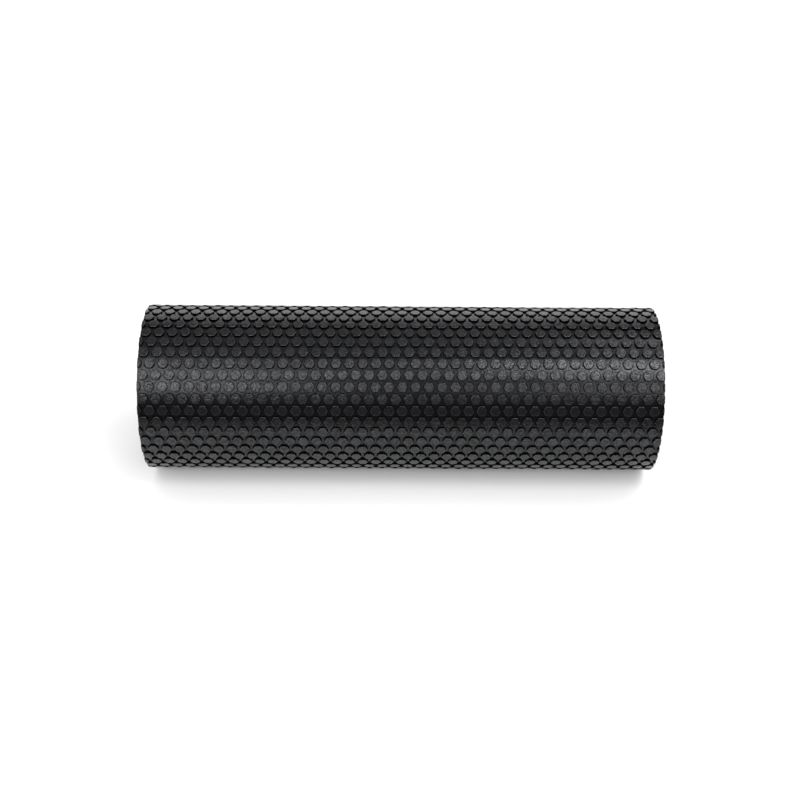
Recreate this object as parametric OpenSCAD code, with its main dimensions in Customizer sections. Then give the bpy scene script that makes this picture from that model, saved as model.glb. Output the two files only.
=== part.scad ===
// Solid foam roller: a round core laminated from foam slabs, wrapped once in an
// embossed foam sheet whose two edges meet in a butt seam along the length.
// The roller lies along X with its lowest line on z = 0, centred on the origin.

/* [Roller] */
// Length from end face to end face
roller_length = 450; // [300:10:900]
// Diameter over the tops of the bumps
roller_diameter = 147; // [130:1:160]

/* [Cover sheet] */
// Thickness of the embossed sheet, bumps included
cover_thickness = 8; // [6:0.5:12]
// Height of the bumps above the ground of the sheet
bump_height = 1.9; // [1:0.1:2.5]
// Direction of the butt seam, from straight down (0) towards the back (90)
seam_angle = 70; // [20:5:160]

/* [Core] */
// Thickness of the middle slab of the core
middle_slab_thickness = 45; // [30:1:60]

/* [Glue] */
// Thickness of the glue lines in the core and under the cover
glue_thickness = 0.3; // [0.2:0.05:0.5]
// Width of the glue line that closes the butt seam
seam_width = 0.4; // [0.3:0.1:1]

/* [Hidden] */
$fn = 128;
outer_radius = roller_diameter / 2;
ground_radius = outer_radius - bump_height;
cover_bore_radius = outer_radius - cover_thickness;
core_radius = cover_bore_radius - glue_thickness;
upper_glue_bottom = middle_slab_thickness / 2;
upper_glue_top = upper_glue_bottom + glue_thickness;
// Reach of a cutting block, larger than the whole roller
reach = roller_length + roller_diameter;
eva_black = [0.10, 0.10, 0.11];
core_black = [0.15, 0.15, 0.16];
glue_amber = [0.35, 0.30, 0.20];

// Places children made along Z onto the roller's axis, so that their +X points straight down.
module on_axis() {
    translate([0, 0, outer_radius]) rotate([0, 90, 0]) children();
}

module rod(radius, length = roller_length) {
    cylinder(h = length, r = radius, center = true);
}

module tube(outer, inner) {
    difference() {
        rod(outer);
        rod(inner, reach);
    }
}

// The layer between two heights above the roller's axis.
module layer(low, high) {
    translate([0, 0, outer_radius + (low + high) / 2])
        cube([reach, reach, high - low], center = true);
}

module core_between(low, high) {
    intersection() {
        on_axis() rod(core_radius);
        layer(low, high);
    }
}

// The slit that runs from the axis out through the cover, along the whole length.
module seam_slit(length) {
    rotate([0, 0, seam_angle])
        translate([reach / 2, 0, 0]) cube([reach, seam_width, length], center = true);
}

module core_top_slab() {
    color(core_black) core_between(upper_glue_top, outer_radius);
}

module core_middle_slab() {
    color(core_black) core_between(-upper_glue_bottom, upper_glue_bottom);
}

module core_bottom_slab() {
    color(core_black) core_between(-outer_radius, -upper_glue_top);
}

module core_upper_glue_line() {
    color(glue_amber) core_between(upper_glue_bottom, upper_glue_top);
}

module core_lower_glue_line() {
    color(glue_amber) core_between(-upper_glue_top, -upper_glue_bottom);
}

module cover_glue_film() {
    color(glue_amber) on_axis() tube(cover_bore_radius, core_radius);
}

module cover_sheet() {
    color(eva_black) on_axis() difference() {
        tube(outer_radius, cover_bore_radius);
        seam_slit(reach);
    }
}

module seam_glue_line() {
    color(glue_amber) on_axis() intersection() {
        tube(ground_radius, cover_bore_radius);
        seam_slit(roller_length);
    }
}

core_top_slab();
core_middle_slab();
core_bottom_slab();
core_upper_glue_line();
core_lower_glue_line();
cover_glue_film();
cover_sheet();
seam_glue_line();
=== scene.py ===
import math

import bmesh
import bpy
import numpy as np
from mathutils import Matrix, Quaternion, Vector


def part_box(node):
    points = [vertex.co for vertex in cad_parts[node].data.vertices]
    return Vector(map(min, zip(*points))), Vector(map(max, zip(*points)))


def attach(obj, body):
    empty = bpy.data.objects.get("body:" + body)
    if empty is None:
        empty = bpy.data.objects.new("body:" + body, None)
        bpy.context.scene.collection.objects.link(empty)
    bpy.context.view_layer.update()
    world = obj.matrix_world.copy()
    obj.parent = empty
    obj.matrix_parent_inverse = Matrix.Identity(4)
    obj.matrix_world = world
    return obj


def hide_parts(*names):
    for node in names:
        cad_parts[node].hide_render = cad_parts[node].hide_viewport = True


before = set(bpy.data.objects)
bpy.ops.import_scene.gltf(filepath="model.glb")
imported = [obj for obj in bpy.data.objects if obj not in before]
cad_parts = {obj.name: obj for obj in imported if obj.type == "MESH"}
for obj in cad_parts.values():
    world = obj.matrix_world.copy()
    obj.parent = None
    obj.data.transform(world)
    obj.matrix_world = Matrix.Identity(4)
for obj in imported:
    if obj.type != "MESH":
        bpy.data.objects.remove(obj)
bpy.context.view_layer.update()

# A foam roller: a black embossed foam sheet, wrapped and glued round a core of three foam slabs.

random = np.random.default_rng(7)

# ---------------------------------------------------------------- sizes, in metres, from the frame

cover_low, cover_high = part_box("cover_sheet")
film_low, film_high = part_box("cover_glue_film")
middle_slab_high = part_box("core_middle_slab")[1]
seam_low, seam_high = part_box("seam_glue_line")

half_length = cover_high.x
outer_radius = (cover_high.z - cover_low.z) / 2
axis_height = (cover_high.z + cover_low.z) / 2
bore_radius = (film_high.z - film_low.z) / 2
core_radius = middle_slab_high.y
roller_centre = Vector((0, 0, axis_height))

# Directions round the roller are angles from straight down, turning towards the back (+Y).
seam_height = (seam_low.z + seam_high.z) / 2
seam_angle = math.atan2((seam_low.y + seam_high.y) / 2, axis_height - seam_height)

# ---------------------------------------------------------------- camera

camera_elevation = math.radians(35)
camera_azimuth = math.radians(-0.62)
camera_roll = math.radians(0.70)
camera_distance = 16.45 * outer_radius
camera_drop = 0.0114        # the roller stands a little above the middle of the picture
camera_shift = 0.0005       # and a little to the right of it
camera_lens = 60.1          # in millimetres, as the sensor is
camera_sensor = 36


def place_camera():
    """A product view of the roller from in front and above."""
    camera = bpy.data.objects.new("camera", bpy.data.cameras.new("camera"))
    bpy.context.scene.collection.objects.link(camera)
    camera.data.lens = camera_lens
    camera.data.sensor_width = camera_sensor
    back = Vector((
        math.sin(camera_azimuth) * math.cos(camera_elevation),
        -math.cos(camera_azimuth) * math.cos(camera_elevation),
        math.sin(camera_elevation),
    ))
    turn = (-back).to_track_quat("-Z", "Y") @ Quaternion((0, 0, 1), camera_roll)
    camera.rotation_mode = "QUATERNION"
    camera.rotation_quaternion = turn
    camera.location = roller_centre + back * camera_distance
    camera.location += turn @ Vector((-camera_shift, -camera_drop, 0))
    bpy.context.scene.camera = camera


place_camera()

# ---------------------------------------------------------------- the embossed pattern

bump_pitch = 0.01135        # from bump to bump along a row
row_pitch = 0.01033         # from row to row round the roller
row_slant = -0.0034         # how far a row leaves its line per length along the roller
row_offset = 0.0006         # how far the rows sit below the line that faces the camera
column_offset = 0.012 * outer_radius    # how far the bumps sit right of the roller's middle
bump_across_corners = 0.0096
bump_across_flats = 0.0087
bump_height = 0.0019
corner_cut = 0.13           # share of a side that each rounded corner takes
top_flatness = 0.2          # 0 where a top follows the roller's curve, 1 where it is a flat facet
ground_radius = outer_radius - bump_height

# Rings from the ground round a bump to the edge of its top: how far in from the foot, the share
# of the height, how deep in the crease the ring lies, which sets the painted shade there, and how
# far it is rubbed smooth, which also sets a painted highlight along the rim.
bump_rings = (
    (0.0, -0.03, 1.0, 0),
    (0.00010, 0.76, 1.0, 0),
    (0.00023, 0.895, 0, 1),
    (0.00052, 0.985, 0, 0),
)
ground_corners = 6          # points round the ground of a bump, where it meets its neighbours'
ring_points = 12            # points of each ring, two for each rounded corner
cell_points = ground_corners + ring_points * len(bump_rings) + 1

# How much one bump differs from the next, as standard deviations.
size_spread = 0.012         # share of its size
height_spread = 0.03        # share of its height
lean_spread = 0.005         # slope of its top
outline_spread = 0.00003    # place of each point of its outline
top_spread = 0.00001        # height of each point of its top
ground_tone = 0.5           # tone of the ground, where the tones of the tops are spread over 0 to 1

# The flat sheet is measured along the roller (x) and round it from the seam (arc, at the outer
# radius).
sheet_arc = 2 * math.pi * outer_radius
seam_half_gap = 0.0002      # half the width of the slit between the sheet's two edges
front_arc = (math.radians(270) - camera_elevation - seam_angle) * outer_radius + row_offset

# ---------------------------------------------------------------- node helpers


def new_material(name):
    """A material, its tree and its Principled shader."""
    material = bpy.data.materials.new(name)
    material.use_nodes = True
    tree = material.node_tree
    return material, tree, tree.nodes["Principled BSDF"]


def fill_sockets(tree, sockets, values):
    """Sets input sockets, or links them where the value is itself a socket."""
    for key, value in values.items():
        if isinstance(value, bpy.types.NodeSocket):
            tree.links.new(value, sockets[key])
        else:
            sockets[key].default_value = value


def add(tree, kind, settings=None, sockets=None):
    """A node with its settings and its input sockets filled in."""
    made = tree.nodes.new(kind)
    for name, value in (settings or {}).items():
        setattr(made, name, value)
    fill_sockets(tree, made.inputs, sockets or {})
    return made


def place_in_object(tree, stretch=(1, 1, 1)):
    """The point on the object, in metres, stretched along each axis."""
    point = add(tree, "ShaderNodeTexCoord").outputs["Object"]
    return add(tree, "ShaderNodeMapping", sockets={0: point, "Scale": stretch}).outputs[0]


def noise(tree, point, size, detail=2.0, rough=0.5):
    """Soft noise from 0 to 1 whose lumps are about size metres across."""
    sockets = {"Vector": point, "Scale": 1 / size, "Detail": detail, "Roughness": rough}
    return add(tree, "ShaderNodeTexNoise", sockets=sockets).outputs["Fac"]


def cells(tree, point, size):
    """Distance to the middle of a foam cell, in cell widths."""
    sockets = {"Vector": point, "Scale": 1 / size}
    return add(tree, "ShaderNodeTexVoronoi", {"feature": "F1"}, sockets).outputs["Distance"]


def remap(tree, value, low, high, to_low=0.0, to_high=1.0):
    """value stretched so that low to high becomes to_low to to_high, and held at the ends."""
    sockets = {0: value, 1: low, 2: high, 3: to_low, 4: to_high}
    return add(tree, "ShaderNodeMapRange", sockets=sockets).outputs[0]


def between(tree, share, at_zero, at_one):
    """at_zero where share is 0, at_one where it is 1."""
    return remap(tree, share, 0, 1, at_zero, at_one)


def combine(tree, operation, first, second):
    """Two numbers put together."""
    return add(tree, "ShaderNodeMath", {"operation": operation}, {0: first, 1: second}).outputs[0]


def weighted_sum(tree, *parts):
    """Several numbers added up, each times its weight."""
    total = None
    for value, weight in parts:
        part = combine(tree, "MULTIPLY", value, weight)
        total = part if total is None else combine(tree, "ADD", total, part)
    return total


def blend_colours(tree, share, first, second):
    """first where share is 0, second where it is 1."""
    made = add(tree, "ShaderNodeMix", {"data_type": "RGBA"}, {"Factor": share})
    for key, colour in ((6, first), (7, second)):
        if not isinstance(colour, bpy.types.NodeSocket):
            colour = (*colour, 1)
        fill_sockets(tree, made.inputs, {key: colour})
    return made.outputs[2]


def relief(tree, height, depth, strength=1.0, below=None):
    """A bump of depth metres from a height of 0 to 1, on top of another one."""
    sockets = {"Height": height, "Distance": depth, "Strength": strength}
    if below is not None:
        sockets["Normal"] = below
    return add(tree, "ShaderNodeBump", sockets=sockets).outputs[0]


def attribute(tree, name):
    """A number stored on the mesh's points."""
    return add(tree, "ShaderNodeAttribute", {"attribute_name": name}).outputs["Fac"]


# ---------------------------------------------------------------- the skin of the embossed sheet


def skin_colour(tree, top, crease, rim, pale):
    """Black foam: mottled tops over an even ground, rims painted paler as a highlight, and creases
    painted near black as shade.
    """
    dark_top, pale_top = (0.0019, 0.0019, 0.0021), (0.0047, 0.0047, 0.0050)
    ground = (0.0026, 0.0026, 0.0030)
    # Painted highlight: the rims of the bumps are painted paler.
    painted_rim_highlight = (0.012, 0.012, 0.0125)
    # Painted shade: the creases and walls round each bump are painted near black.
    painted_crease_shade = (0.0003, 0.0003, 0.0004)
    colour = blend_colours(tree, top, ground, blend_colours(tree, pale, dark_top, pale_top))
    colour = blend_colours(tree, rim, colour, painted_rim_highlight)
    return blend_colours(tree, crease, colour, painted_crease_shade)


def skin_gloss(tree, top, crease, rim, pale):
    """Most gloss on the pale patches of the tops and along the rims, hardly any in the creases,
    where taking it out paints shade.
    """
    ground_gloss, top_gloss = 0.38, 0.60
    dark_share, pale_share, crease_shade_share = 0.25, 1.75, 0.05
    rim_gloss = 0.50
    gloss = between(tree, top, ground_gloss, top_gloss)
    gloss = combine(tree, "MULTIPLY", gloss, between(tree, pale, dark_share, pale_share))
    # Painted shade: the creases lose nearly all their gloss.
    gloss = combine(tree, "MULTIPLY", gloss, between(tree, crease, 1.0, crease_shade_share))
    return combine(tree, "ADD", gloss, combine(tree, "MULTIPLY", rim, rim_gloss))


def skin_roughness(tree, top, rim, mottle):
    """Satin, a little smoother on the ground, along the rims and on the pale patches."""
    dark_rough, pale_rough = 0.29, 0.24
    rim_smoother, ground_smoother = 0.06, 0.05
    rough = between(tree, mottle, dark_rough, pale_rough)
    rough = combine(tree, "SUBTRACT", rough, combine(tree, "MULTIPLY", rim, rim_smoother))
    return combine(tree, "ADD", rough, between(tree, top, -ground_smoother, 0))


def skin_relief(tree, point, top):
    """Low lumps, strongest on the tops, with a fine grain and pores on them."""
    lump_size, grain_size, pore_size = 0.0026, 0.0005, 0.00035
    lump_depth, grain_depth, pore_depth = 0.00036, 0.00005, 0.00003
    ground_share = 0.3
    lumps = noise(tree, point, lump_size, 3, 0.65)
    grain = noise(tree, point, grain_size, 2, 0.6)
    pores = cells(tree, point, pore_size)
    lumpy = relief(tree, lumps, lump_depth, between(tree, top, ground_share, 1.0))
    grainy = relief(tree, grain, grain_depth, 0.6, lumpy)
    return relief(tree, pores, pore_depth, 0.5, grainy)


def moulded_foam():
    """The skin of the embossed sheet: painted near black in the creases round the bumps as shade,
    smooth on the ground between them, satin and mottled on their tops, and rubbed smoother along
    their rims, where they are also painted paler as a highlight."""
    patch_size, mottle_size = 0.022, 0.0018
    material, tree, shader = new_material("moulded_foam_skin")
    point = place_in_object(tree)
    top = remap(tree, attribute(tree, "bump_height"), 0.5, 0.85)
    # The crease mask carries painted shade; the rim mask carries a painted highlight as well as the
    # rims' real gloss.
    crease = combine(tree, "POWER", attribute(tree, "bump_crease"), 4.0)
    rim = attribute(tree, "bump_rim")
    tone = attribute(tree, "bump_tone")
    patches = noise(tree, point, patch_size, 3)
    mottle = remap(tree, noise(tree, point, mottle_size, 4, 0.7), 0.38, 0.62)
    pale = weighted_sum(tree, (mottle, 0.65), (tone, 0.15), (patches, 0.20))
    fill_sockets(tree, shader.inputs, {
        "Base Color": skin_colour(tree, top, crease, rim, pale),
        "Roughness": skin_roughness(tree, top, rim, mottle),
        "IOR": 1.40,
        "Specular IOR Level": skin_gloss(tree, top, crease, rim, pale),
        "Specular Tint": (0.95, 0.965, 1.0, 1),
        "Normal": skin_relief(tree, point, top),
    })
    return material


# ---------------------------------------------------------------- cut foam, glue and paper


def cut_foam(name, cell_size, dark, pale):
    """Foam where the knife went through it: matt, with open cells, a few larger holes and faint
    knife marks. dark is painted shade in the hollows and holes, and pale the colour of the cell
    walls."""
    mark_size, patch_size, clump_size, hole_spacing = 0.0016, 0.018, 0.0030, 0.0045
    mark_depth, hole_depth = 0.00025, 0.0004
    material, tree, shader = new_material(name)
    point = place_in_object(tree)
    along_cut = place_in_object(tree, (1, 0.08, 1))
    coarse = cells(tree, point, cell_size)
    fine = cells(tree, point, cell_size * 0.45)
    marks = remap(tree, noise(tree, along_cut, mark_size, 3, 0.7), 0.3, 0.7)
    patches = remap(tree, noise(tree, point, patch_size, 3), 0.3, 0.7)
    clumps = remap(tree, noise(tree, point, clump_size, 4, 0.7), 0.36, 0.64)
    # Painted shade: darker towards the middle of each open cell.
    open_cells = remap(tree, coarse, 0.1, 0.75)
    holes = remap(tree, cells(tree, point, hole_spacing), 0.05, 0.16)
    light = weighted_sum(tree, (open_cells, 0.30), (clumps, 0.25), (marks, 0.25), (patches, 0.20))
    # Painted shade: the larger holes are painted darker.
    light = combine(tree, "MULTIPLY", light, between(tree, holes, 0.15, 1.0))
    hollow = relief(tree, holes, hole_depth, 0.9)
    pits = relief(tree, coarse, cell_size * 0.45, 0.8, hollow)
    small_pits = relief(tree, fine, cell_size * 0.2, 0.8, pits)
    fill_sockets(tree, shader.inputs, {
        "Base Color": blend_colours(tree, light, dark, pale),
        "Roughness": 0.85,
        "IOR": 1.45,
        "Normal": relief(tree, marks, mark_depth, 0.8, small_pits),
        "Sheen Weight": 0.08,
        "Sheen Roughness": 0.6,
    })
    return material


def dried_glue():
    """Contact adhesive, dry: dark amber, a little shiny, lumpy."""
    dark_amber, amber = (0.020, 0.017, 0.012), (0.060, 0.050, 0.034)
    lump_size, lump_depth = 0.0016, 0.0002
    material, tree, shader = new_material("dried_glue")
    lumps = noise(tree, place_in_object(tree), lump_size, 3)
    raised = remap(tree, lumps, 0.3, 0.7)
    fill_sockets(tree, shader.inputs, {
        "Base Color": blend_colours(tree, raised, dark_amber, amber),
        "Roughness": remap(tree, lumps, 0.3, 0.7, 0.25, 0.45),
        "Normal": relief(tree, lumps, lump_depth, 0.7),
    })
    return material


def pale_floor():
    """Matt pale paper, very slightly uneven, and painted paler far from the roller, where the lights
    no longer reach it, as painted light in their place."""
    near_dark, near_pale = (0.50, 0.50, 0.50), (0.53, 0.53, 0.53)
    # Painted light: far from the roller the paper is painted near white.
    painted_far_light = (0.92, 0.92, 0.92)
    patch_size, near_radius, far_radius = 0.6, 1.2, 3.0
    material, tree, shader = new_material("pale_floor")
    point = place_in_object(tree)
    near = blend_colours(tree, noise(tree, point, patch_size, 2), near_dark, near_pale)
    away = add(tree, "ShaderNodeVectorMath", {"operation": "LENGTH"}, {0: point}).outputs["Value"]
    far = remap(tree, away, near_radius, far_radius)
    fill_sockets(tree, shader.inputs, {
        "Base Color": blend_colours(tree, far, near, painted_far_light),
        "Roughness": 0.9,
        "Specular IOR Level": 0.1,
    })
    return material


# ---------------------------------------------------------------- mesh helpers


def on_roller(x, angle, radius):
    """Points at a place along the roller, a direction round it and a distance from its axis."""
    return np.stack([x, radius * np.sin(angle), axis_height - radius * np.cos(angle)], axis=-1)


def read_all(items, name, kind=np.float64, width=1):
    """One property of all the items of a mesh, as a flat array."""
    values = np.zeros(len(items) * width, dtype=kind)
    items.foreach_get(name, values)
    return values


def store(mesh, name, kind, domain, values):
    """A new attribute of a mesh."""
    mesh.attributes.new(name, kind, domain).data.foreach_set("value", values)


def face_outwards(mesh, merge=0.0):
    """Joins the points of a closed mesh that lie closer than merge and turns its faces outwards."""
    bm = bmesh.new()
    bm.from_mesh(mesh)
    if merge:
        bmesh.ops.remove_doubles(bm, verts=bm.verts[:], dist=merge)
        bmesh.ops.dissolve_degenerate(bm, edges=bm.edges[:], dist=merge)
    bmesh.ops.recalc_face_normals(bm, faces=bm.faces[:])
    bm.to_mesh(mesh)
    bm.free()


def shade_smooth_below(mesh, sharp_angle):
    """Smooth shading with sharp edges where two faces meet at more than an angle in degrees."""
    mesh.shade_smooth()
    mesh.set_sharp_from_angle(angle=math.radians(sharp_angle))


def put_on_roller(mesh, node):
    """Makes the piece that stands for a CAD node."""
    piece = bpy.data.objects.new(mesh.name, mesh)
    bpy.context.scene.collection.objects.link(piece)
    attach(piece, "root")
    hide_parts(node)
    return piece


# ---------------------------------------------------------------- the embossed sheet, flat


def bump_ring(inset):
    """The points of the six-sided outline, its corners cut, inset from the foot."""
    corner_x = bump_across_corners / 2 - inset / math.cos(math.radians(30))
    flat_y = bump_across_flats / 2 - inset
    corners = [
        (corner_x, 0), (corner_x / 2, flat_y), (-corner_x / 2, flat_y),
        (-corner_x, 0), (-corner_x / 2, -flat_y), (corner_x / 2, -flat_y),
    ]
    points = []
    for here in range(len(corners)):
        for other in (here - 1, (here + 1) % len(corners)):
            near, far = np.array(corners[here]), np.array(corners[other])
            points.append(near + (far - near) * corner_cut)
    return np.array(points)


def cell_corners():
    """The six corners of the ground round a bump. Each is the midpoint of three bumps."""
    across = np.array([bump_pitch, row_slant * bump_pitch])
    upper_right = np.array([bump_pitch / 2, row_pitch + row_slant * bump_pitch / 2])
    upper_left = upper_right - across
    half = [(across + upper_right) / 3, (upper_right + upper_left) / 3, (upper_left - across) / 3]
    return np.array(half + [-point for point in half])


def ring_start(ring):
    """The number of a ring's first point in its cell."""
    return ground_corners + ring_points * ring


def cell_faces():
    """One cell's faces: the ground's corners, then the rings, then the middle of the top."""
    faces = []
    foot = ring_start(0)
    for side in range(ground_corners):
        here = foot + 2 * side
        after = foot + (2 * side + 2) % ring_points
        faces.append((side, here + 1, after))
        faces.append(((side - 1) % ground_corners, here, here + 1, side))
    for ring in range(len(bump_rings) - 1):
        low, high = ring_start(ring), ring_start(ring + 1)
        for k in range(ring_points):
            after = (k + 1) % ring_points
            faces.append((low + k, low + after, high + after, high + k))
    edge, middle = ring_start(len(bump_rings) - 1), cell_points - 1
    faces += [(edge + k, edge + (k + 1) % ring_points, middle) for k in range(ring_points)]
    return faces


def bump_centres():
    """The middle of every bump on the flat sheet and a little past its edges."""
    spare_rows, spare_columns = 2, 3
    first_row = -int(front_arc / row_pitch) - spare_rows
    rows = int(sheet_arc / row_pitch) + 2 * spare_rows
    columns = int(half_length / bump_pitch) + spare_columns
    centres = []
    for row in range(first_row, first_row + rows):
        for column in range(-columns, columns + 1):
            x = column_offset + (column + 0.5 * (row % 2)) * bump_pitch
            centres.append((x, front_arc + row * row_pitch + row_slant * x))
    return np.array(centres)


def cell_shapes(centres):
    """The points of every cell, how deep in a crease each lies, for the painted shade there, and
    how far it is rubbed smooth, for the gloss and a painted rim highlight.
    """
    count = len(centres)
    points = np.zeros((count, cell_points, 3))
    creases = np.zeros((count, cell_points))
    rims = np.zeros((count, cell_points))
    points[:, :ground_corners, :2] = cell_corners()
    scale = 1 + random.normal(0, size_spread, (count, 1, 1))
    tall = bump_height * (1 + random.normal(0, height_spread, (count, 1)))
    lean = random.normal(0, lean_spread, (count, 1, 2))
    for ring, (inset, share, crease, rim) in enumerate(bump_rings):
        part = slice(ring_start(ring), ring_start(ring + 1))
        outline = bump_ring(inset)
        uneven_outline = random.normal(0, outline_spread, (count, ring_points, 2))
        points[:, part, :2] = outline * scale + uneven_outline
        tilt = (outline * lean).sum(axis=2)
        flatten = top_flatness * outline[:, 1] ** 2 / (2 * outer_radius)
        uneven_top = random.normal(0, top_spread, (count, ring_points))
        points[:, part, 2] = share * (tall + tilt) + (share > 0.5) * (flatten + uneven_top)
        creases[:, part] = crease
        rims[:, part] = rim
    points[:, -1, 2] = tall[:, 0]
    points[:, :, :2] += centres[:, None, :]
    return points, creases, rims


def flat_sheet():
    """Every cell of the embossed face, laid flat, with small differences from bump to bump."""
    centres = bump_centres()
    count = len(centres)
    template = cell_faces()
    points, creases, rims = cell_shapes(centres)
    tones = np.repeat(random.uniform(0, 1, count), cell_points).reshape(count, cell_points)
    tones[:, :ground_corners] = ground_tone
    faces = [tuple(c * cell_points + k for k in face) for c in range(count) for face in template]
    mesh = bpy.data.meshes.new("cover")
    mesh.from_pydata(points.reshape(-1, 3).tolist(), [], faces)
    heights = points[:, :, 2] / bump_height
    layers = (
        ("bump_tone", tones), ("bump_height", heights), ("bump_crease", creases), ("bump_rim", rims),
    )
    for name, values in layers:
        store(mesh, name, "FLOAT", "POINT", values.ravel().astype(np.float32))
    raised = np.tile([min(face) >= ground_corners for face in template], count)
    store(mesh, "raised", "INT", "FACE", raised.astype(np.int32))
    return mesh


def trim(bm):
    """Cuts the flat sheet along its two ends and its two seam edges."""
    snap_distance = 2e-6
    last = sheet_arc - seam_half_gap
    cuts = (
        ((half_length, 0, 0), (1, 0, 0)), ((-half_length, 0, 0), (-1, 0, 0)),
        ((0, seam_half_gap, 0), (0, -1, 0)), ((0, last, 0), (0, 1, 0)),
    )
    for place, outward in cuts:
        everything = bm.verts[:] + bm.edges[:] + bm.faces[:]
        bmesh.ops.bisect_plane(
            bm, geom=everything, dist=snap_distance, plane_co=place, plane_no=outward,
            clear_outer=True)


# ---------------------------------------------------------------- the sheet closed and wrapped


def zip_chains(bm, first, second, where):
    """Triangles between two chains of points that run side by side. where gives a point's place."""
    made = []
    a, b = 0, 0
    while a < len(first) - 1 or b < len(second) - 1:
        next_a = where(first[a + 1]) if a < len(first) - 1 else math.inf
        next_b = where(second[b + 1]) if b < len(second) - 1 else math.inf
        if next_a < next_b:
            made.append(bm.faces.new((first[a], first[a + 1], second[b])))
            a += 1
        else:
            made.append(bm.faces.new((first[a], second[b + 1], second[b])))
            b += 1
    return made


def walk_round(rim):
    """The rim's points in order, from the corner at the left end where the sheet starts, along that
    seam edge, the right end and the other seam edge, and back along the left end."""
    beside = {}
    for edge in rim:
        for one, other in (edge.verts, reversed(edge.verts)):
            beside.setdefault(one, []).append(other)
    corner = min(beside, key=lambda v: v.co.x + v.co.y)
    loop = [corner, max(beside[corner], key=lambda v: v.co.x)]
    while loop[-1] != corner:
        one, other = beside[loop[-1]]
        loop.append(other if one == loop[-2] else one)
    return loop[:-1]


def close_sheet(bm, depth):
    """Adds the cut walls all round the sheet, down to depth below the ground, and the face that is
    glued to the core. Returns the new faces."""
    shares = (0.12, 0.45, 1.0)      # of the way down, where the walls have a line of points
    loop = walk_round([edge for edge in bm.edges if len(edge.link_faces) == 1])
    columns = []
    for top in loop:
        x, arc, height = top.co
        rest = -depth - height
        columns.append([top] + [bm.verts.new((x, arc, height + rest * share)) for share in shares])
    cut_faces = []
    for here, one in enumerate(columns):
        other = columns[(here + 1) % len(columns)]
        for k in range(len(shares)):
            cut_faces.append(bm.faces.new((one[k], other[k], other[k + 1], one[k + 1])))
    feet = [column[-1] for column in columns]
    corner = min(range(len(feet)), key=lambda k: feet[k].co.x - feet[k].co.y)
    cut_faces += zip_chains(bm, feet[:corner:-1], feet[:corner + 1], lambda v: v.co.y)
    return cut_faces


def undulation(x, angle, size):
    """Slow unevenness over the roller, about size either way. It is the same at every call."""
    waves = np.random.default_rng(3)
    count = 10
    longest, shortest = 8, 60       # waves along the roller, in radians per metre
    most_around = 8
    total = np.zeros_like(x)
    for _ in range(count):
        along = waves.uniform(longest, shortest)
        around = waves.integers(1, most_around + 1)
        total += np.sin(along * x + around * angle + waves.uniform(0, 2 * math.pi))
    return total / count * 2 * size


def wrap(mesh):
    """Rolls the flat sheet round the core. Its outside is slightly uneven and dips at the seam."""
    uneven, settled = 0.00012, 0.00015
    seam_dip, dip_width = 0.0003, 0.0012
    outside_above = -0.0005         # a point higher than this is on the embossed outside
    x, arc, height = read_all(mesh.vertices, "co", width=3).reshape(-1, 3).T
    angle = seam_angle + arc / outer_radius
    radius = ground_radius + height
    near_seam = np.minimum(arc, sheet_arc - arc)
    outside = height > outside_above
    radius += outside * (undulation(x, angle, uneven) - settled)
    radius -= outside * seam_dip * np.exp(-(near_seam / dip_width) ** 2)
    mesh.vertices.foreach_set("co", on_roller(x, angle, radius).ravel())


def shade_by_area(mesh):
    """Shades the bumps by the mean of the faces round each point, large faces counting most, so
    that a bump's top looks flat and its narrow rim round. The ground is shaded on its own, which
    keeps the crease at a bump's foot sharp, and cut faces stay flat."""
    faces = mesh.polygons
    normals = read_all(faces, "normal", width=3).reshape(-1, 3)
    areas = read_all(faces, "area")
    materials = read_all(faces, "material_index", np.int32)
    corners = read_all(faces, "loop_total", np.int32)
    raised = read_all(mesh.attributes["raised"].data, "value", np.int32)
    points = read_all(mesh.loops, "vertex_index", np.int32)
    face_of = np.repeat(np.arange(len(faces)), corners)
    shading = normals[face_of]
    skin = materials[face_of] == 0
    total = np.zeros((2 * len(mesh.vertices), 3))
    place = 2 * points[skin] + raised[face_of[skin]]    # two sums a point: ground and raised
    weight = areas[face_of[skin], None] ** 3
    np.add.at(total, place, shading[skin] * weight)
    shading[skin] = total[place]
    shading /= np.linalg.norm(shading, axis=1, keepdims=True)
    mesh.normals_split_custom_set(shading.tolist())


def build_cover(skin, cut):
    """The embossed sheet wrapped round the core."""
    join_distance = 2e-5
    mesh = flat_sheet()
    bm = bmesh.new()
    bm.from_mesh(mesh)
    bmesh.ops.remove_doubles(bm, verts=bm.verts[:], dist=join_distance)
    trim(bm)
    for face in close_sheet(bm, ground_radius - bore_radius):
        face.material_index = 1
    bm.to_mesh(mesh)
    bm.free()
    wrap(mesh)
    face_outwards(mesh)
    mesh.materials.append(skin)
    mesh.materials.append(cut)
    shade_by_area(mesh)
    return put_on_roller(mesh, "cover_sheet")


# ---------------------------------------------------------------- the core


def slab_outline(low, high):
    """Rows of points over a slab's end face, from its low height to its high one."""
    spacing = 0.0016
    first = math.asin(max(low / core_radius, -1))
    last = math.asin(min(high / core_radius, 1))
    rows = max(2, round((last - first) * core_radius / spacing))
    columns = round(2 * core_radius / spacing)
    across = np.linspace(-1, 1, columns + 1)
    rise = np.linspace(first, last, rows + 1)
    y = core_radius * np.cos(rise)[:, None] * across
    z = np.repeat(core_radius * np.sin(rise)[:, None], columns + 1, 1)
    return y, z


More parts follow.
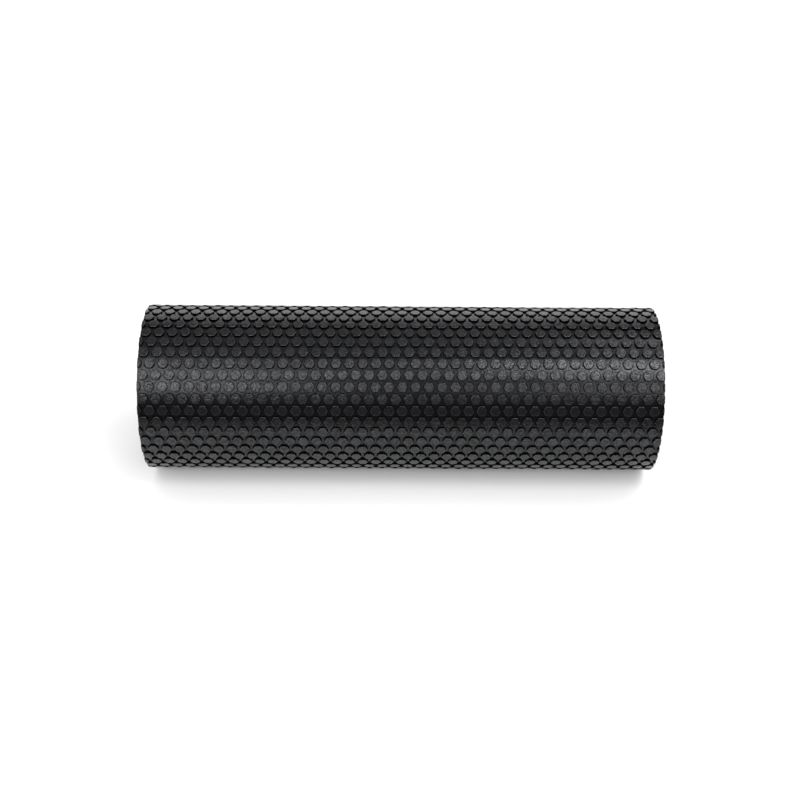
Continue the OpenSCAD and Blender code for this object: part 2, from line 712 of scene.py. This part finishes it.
def cut_surface(y, z, side):
    """How far the knife left the end of the core below the end plane."""
    mean_depth, grain = 0.00026, 0.00003
    fine_height, coarse_height, lump_height = 0.00009, 0.00006, 0.00008
    fine_step, coarse_step = 0.0011, 0.0047         # from mark to mark, over 2 pi
    lump_width, lump_rise = 0.011, 0.013
    wander = 3 * np.sin(y / 0.03)
    fine_marks = fine_height * np.sin(z / fine_step + wander)
    coarse_marks = coarse_height * np.sin(z / coarse_step + side)
    lumps = lump_height * np.sin(y / lump_width + side) * np.sin(z / lump_rise)
    return mean_depth + (fine_marks + coarse_marks) + lumps + random.normal(0, grain, y.shape)


def grid_faces(rows, columns, first):
    """The faces of a grid of points that are numbered row by row from first."""
    corners = [first + r * columns + c for r in range(rows - 1) for c in range(columns - 1)]
    return [(k, k + 1, k + columns + 1, k + columns) for k in corners]


def grid_border(rows, columns):
    """The points along the edge of such a grid that starts from 0, in order."""
    border = list(range(columns))
    border += [r * columns + columns - 1 for r in range(1, rows)]
    border += [(rows - 1) * columns + c for c in range(columns - 2, -1, -1)]
    border += [r * columns for r in range(rows - 2, 0, -1)]
    return border


def build_slab(name, node, low, high, material):
    """One slab of the core: two cut end faces and the glued faces between them."""
    y, z = slab_outline(low, high)
    rows, columns = y.shape
    count = rows * columns
    points = []
    faces = []
    for end, side in enumerate((-1, 1)):
        x = side * (half_length - cut_surface(y, z, side))
        points.append(np.stack([x, y, axis_height + z], axis=-1).reshape(-1, 3))
        faces += grid_faces(rows, columns, end * count)
    border = grid_border(rows, columns)
    for here, after in zip(border, border[1:] + border[:1]):
        faces.append((here, after, after + count, here + count))
    mesh = bpy.data.meshes.new(name)
    mesh.from_pydata(np.concatenate(points).tolist(), [], faces)
    face_outwards(mesh, merge=1e-6)
    mesh.materials.append(material)
    shade_smooth_below(mesh, 40)
    return put_on_roller(mesh, node)


# ---------------------------------------------------------------- the glue in the seam


def bead_rings(x, swell):
    """The lines of points that run along the glue: those of an arch over the slit, then the two
    deep corners inside it. swell is how far the glue has welled up at each place, from 0."""
    arch_points = 8
    edge_depth = 0.0004
    lowest, rise = 0.0001, 0.00035
    narrowest, spread = 0.0003, 0.0003
    bottom_gap, inside = 0.0001, 0.9 * seam_half_gap
    top = ground_radius + lowest + rise * swell
    half_width = narrowest + spread * swell
    rings = []
    for k in range(arch_points):
        turn = math.pi * k / (arch_points - 1)
        arc = -np.cos(turn) * half_width
        radius = ground_radius - edge_depth + (top - ground_radius + edge_depth) * np.sin(turn)
        rings.append(on_roller(x, seam_angle + arc / ground_radius, radius))
    deep = np.full(len(x), bore_radius + bottom_gap)
    for arc in (inside, -inside):
        rings.append(on_roller(x, seam_angle + arc / ground_radius, deep))
    return rings


def tube_faces(stations, around):
    """The faces of a closed tube of rings of points, with a face over each end."""
    faces = []
    for s in range(stations - 1):
        here, there = s * around, (s + 1) * around
        for k in range(around):
            after = (k + 1) % around
            faces.append((here + k, here + after, there + after, there + k))
    faces.append(tuple(range(around)))
    faces.append(tuple(range((stations - 1) * around, stations * around)))
    return faces


def build_seam_bead(material):
    """The line of glue in the butt seam, which has welled up unevenly between the edges."""
    stations = 400
    end_gap = 0.0002
    quick, slow, slowest = 190, 61, 37      # waves along the seam, in radians per metre
    roughness, most_swell = 0.08, 1.2
    x = np.linspace(-half_length + end_gap, half_length - end_gap, stations)
    swell = 0.5 + 0.5 * np.sin(x * quick + 2 * np.sin(x * slow))
    swell = swell * (0.6 + 0.4 * np.sin(x * slowest)) + random.normal(0, roughness, stations)
    rings = bead_rings(x, np.clip(swell, 0, most_swell))
    points = np.stack(rings, axis=1).reshape(-1, 3)
    mesh = bpy.data.meshes.new("seam_glue_bead")
    mesh.from_pydata(points.tolist(), [], tube_faces(stations, len(rings)))
    face_outwards(mesh)
    mesh.materials.append(material)
    shade_smooth_below(mesh, 60)
    return put_on_roller(mesh, "seam_glue_line")


# ---------------------------------------------------------------- floor, dark card and light

# Name, place, width and height, and radiance of each soft light.
soft_lights = (
    ("light_left_low", (-0.5, -1.5, 0.85), (0.55, 0.5), 4.4),
    ("light_right_low", (0.5, -1.5, 0.85), (0.55, 0.5), 2.4),
    ("light_left", (-0.55, -1.1, 1.15), (0.6, 0.75), 5.0),
    ("light_middle", (0, -1.1, 1.15), (0.6, 0.75), 0.2),
    ("light_right", (0.55, -1.1, 1.15), (0.6, 0.75), 2.2),
    ("light_left_high", (-0.55, -0.7, 1.5), (0.6, 0.5), 3.2),
    ("light_middle_high", (0, -0.7, 1.5), (0.6, 0.5), 0.7),
    ("light_right_high", (0.55, -0.7, 1.5), (0.6, 0.5), 10.6),
    ("light_overhead", (-0.2, 0.35, 1.7), (1.6, 1.3), 0.5),
    ("light_overhead_right", (1.0, 0.3, 1.65), (1.0, 1.0), 4.2),
    ("light_back", (0, 3.0, 1.25), (5.0, 2.4), 1.56),
)
# The same of the lights that only fill the shadows and don't show in what the foam reflects.
fill_lights = (
    ("fill_front", (0, -1.4, 1.0), (1.6, 0.5), 7.5),
    ("fill_left", (-1.4, -0.5, 0.9), (0.6, 0.6), 3),
    ("fill_right", (1.2, -0.9, 0.9), (0.6, 0.6), 2.5),
)
room_colour = (0.95, 0.95, 0.95, 1)
room_strength = 1.2
card_half_size = (1.6, 0.0935)
card_place = (0, -0.26, 0.0965)     # of its middle
floor_half_size = 12
floor_gap = 0.0001          # how far the floor lies below the roller, so that they don't touch


def flat_object(name, segments, half_size):
    """A level square grid of faces, centred on the origin."""
    bm = bmesh.new()
    bmesh.ops.create_grid(bm, x_segments=segments, y_segments=segments, size=half_size)
    mesh = bpy.data.meshes.new(name)
    bm.to_mesh(mesh)
    bm.free()
    made = bpy.data.objects.new(name, mesh)
    bpy.context.scene.collection.objects.link(made)
    return made


def build_floor():
    """A pale floor under the roller."""
    floor = flat_object("floor", 2, floor_half_size)
    floor.location.z = cover_low.z - floor_gap
    floor.data.materials.append(pale_floor())


def softbox(name, place, size, radiance, reflected=True):
    """A soft light at a place, aimed at the roller. One that isn't reflected only fills shadows."""
    light = bpy.data.objects.new(name, bpy.data.lights.new(name, "AREA"))
    bpy.context.scene.collection.objects.link(light)
    light.location = place
    light.rotation_mode = "QUATERNION"
    light.rotation_quaternion = (roller_centre - Vector(place)).to_track_quat("-Z", "Y")
    light.data.shape = "RECTANGLE"
    light.data.size, light.data.size_y = size
    light.data.energy = radiance * math.pi * size[0] * size[1]
    light.visible_camera = False
    light.visible_glossy = reflected


def black_card():
    """Black paper that reflects nothing."""
    material, _, shader = new_material("black_card")
    shader.inputs["Base Color"].default_value = (0.002, 0.002, 0.002, 1)
    shader.inputs["Roughness"].default_value = 1
    shader.inputs["Specular IOR Level"].default_value = 0
    return material


def build_dark_card():
    """An upright black card in front, below the camera, that only shows in what the foam
    reflects."""
    card = flat_object("dark_card", 1, 1)
    upright = Matrix.Rotation(math.radians(90), 4, "X")
    stretch = Matrix.Diagonal((*card_half_size, 1, 1))
    card.data.transform(Matrix.Translation(card_place) @ upright @ stretch)
    card.data.materials.append(black_card())
    card.visible_camera = False
    card.visible_diffuse = False
    card.visible_shadow = False


def build_lights():
    """Soft lights above the front and behind, lights that only fill the shadows, a dark card, and
    an even white room that the foam doesn't reflect."""
    for light in soft_lights:
        softbox(*light)
    for light in fill_lights:
        softbox(*light, reflected=False)
    build_dark_card()
    world = bpy.data.worlds.new("room")
    bpy.context.scene.world = world
    world.use_nodes = True
    background = world.node_tree.nodes["Background"]
    background.inputs["Color"].default_value = room_colour
    background.inputs["Strength"].default_value = room_strength
    world.cycles_visibility.glossy = False
    bpy.context.scene.view_settings.view_transform = "Standard"


# ---------------------------------------------------------------- the roller put together

core_cell = 0.00065
sheet_cell = 0.0004
# The hollow colours are painted shade in the open cells; the wall colours are the foam's own.
outer_hollow, outer_wall = (0.006, 0.006, 0.007), (0.042, 0.042, 0.044)
middle_hollow, middle_wall = (0.009, 0.009, 0.010), (0.054, 0.054, 0.056)
sheet_hollow, sheet_wall = (0.006, 0.006, 0.007), (0.026, 0.026, 0.028)

skin_foam = moulded_foam()
outer_core_foam = cut_foam("cut_core_foam", core_cell, outer_hollow, outer_wall)
middle_core_foam = cut_foam("cut_middle_foam", core_cell, middle_hollow, middle_wall)
sheet_cut_foam = cut_foam("cut_sheet_foam", sheet_cell, sheet_hollow, sheet_wall)
glue = dried_glue()

cover = build_cover(skin_foam, sheet_cut_foam)
slabs = (
    ("core_bottom", "core_bottom_slab", outer_core_foam),
    ("core_middle", "core_middle_slab", middle_core_foam),
    ("core_top", "core_top_slab", outer_core_foam),
)
for piece_name, node, foam in slabs:
    low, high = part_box(node)
    slab = build_slab(piece_name, node, low.z - axis_height, high.z - axis_height, foam)
build_seam_bead(glue)
for node in ("core_upper_glue_line", "core_lower_glue_line", "cover_glue_film"):
    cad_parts[node].data.materials.clear()
    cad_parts[node].data.materials.append(glue)

build_floor()
build_lights()
